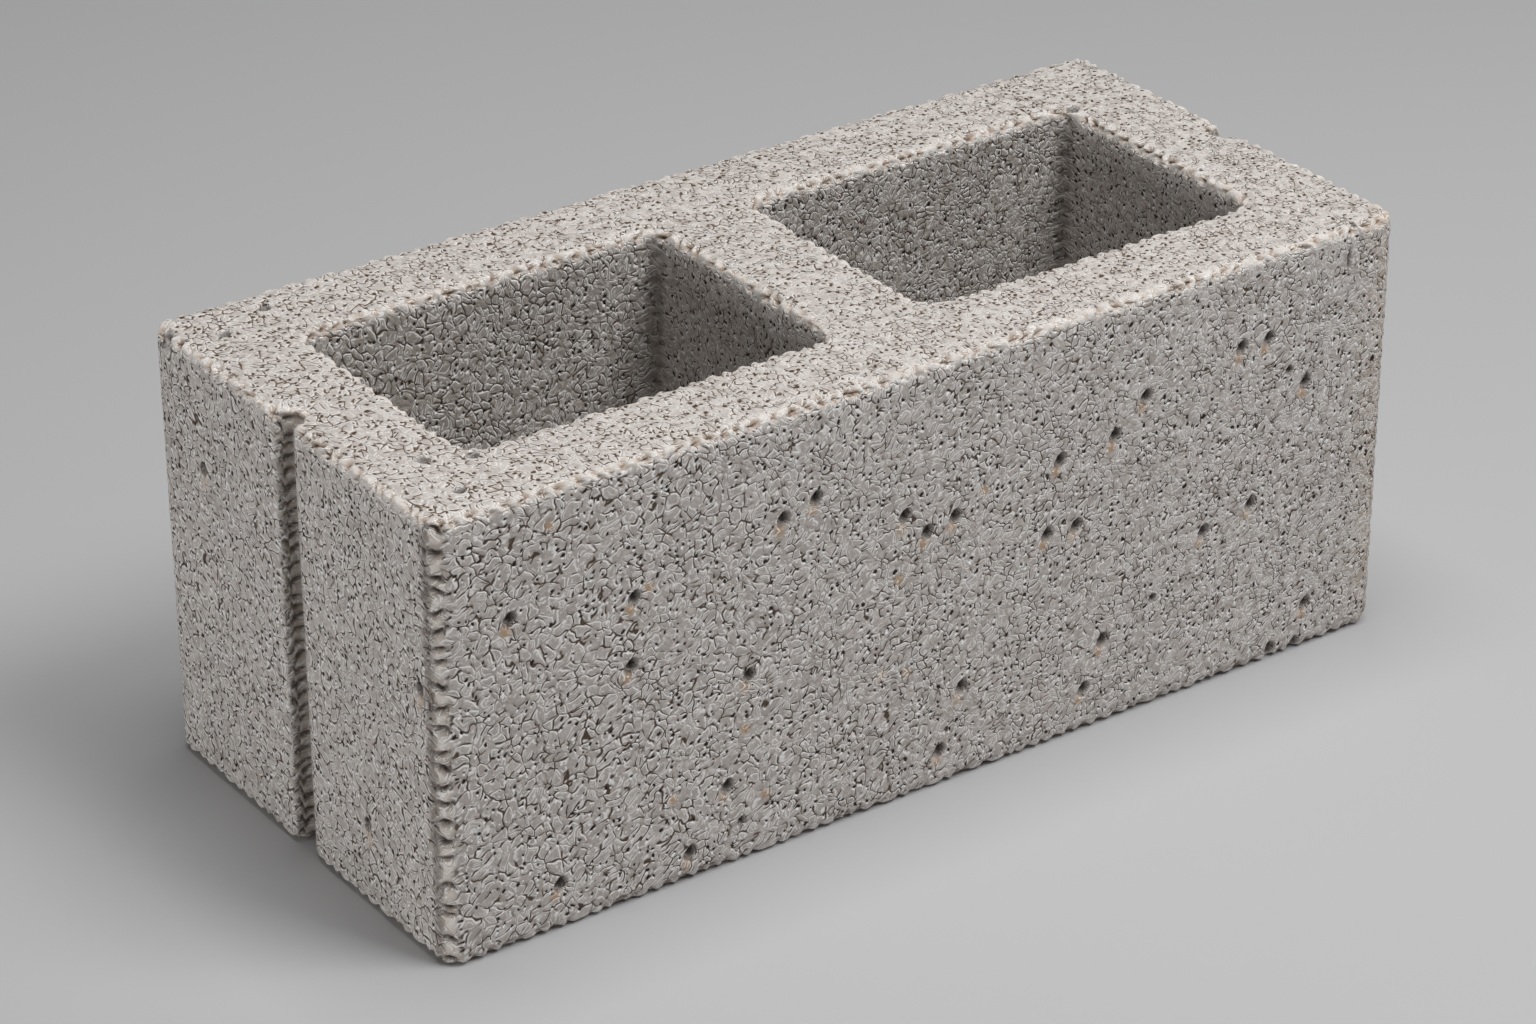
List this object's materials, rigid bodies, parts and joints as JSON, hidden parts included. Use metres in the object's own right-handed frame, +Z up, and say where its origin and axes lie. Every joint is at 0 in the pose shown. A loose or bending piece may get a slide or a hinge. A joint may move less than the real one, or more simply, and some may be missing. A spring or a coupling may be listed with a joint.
{
  "type": "hollow concrete block",
  "caption": "Hollow concrete masonry block with rectangular through cells, worn arrises and an upright key groove in each end, for laying in mortar.",
  "frame": {"origin": "middle of the underside, on the surface that the block stands on", "axes": "+X along the block's length to the right of its front face, +Y from the front face to the back, +Z up through the cells"},
  "size_m": [0.39, 0.175, 0.16],
  "materials": {
    "concrete": "matte"
  },
  "bodies": {
    "root": {"hollow_block": "concrete"}
  },
  "joints": []
}
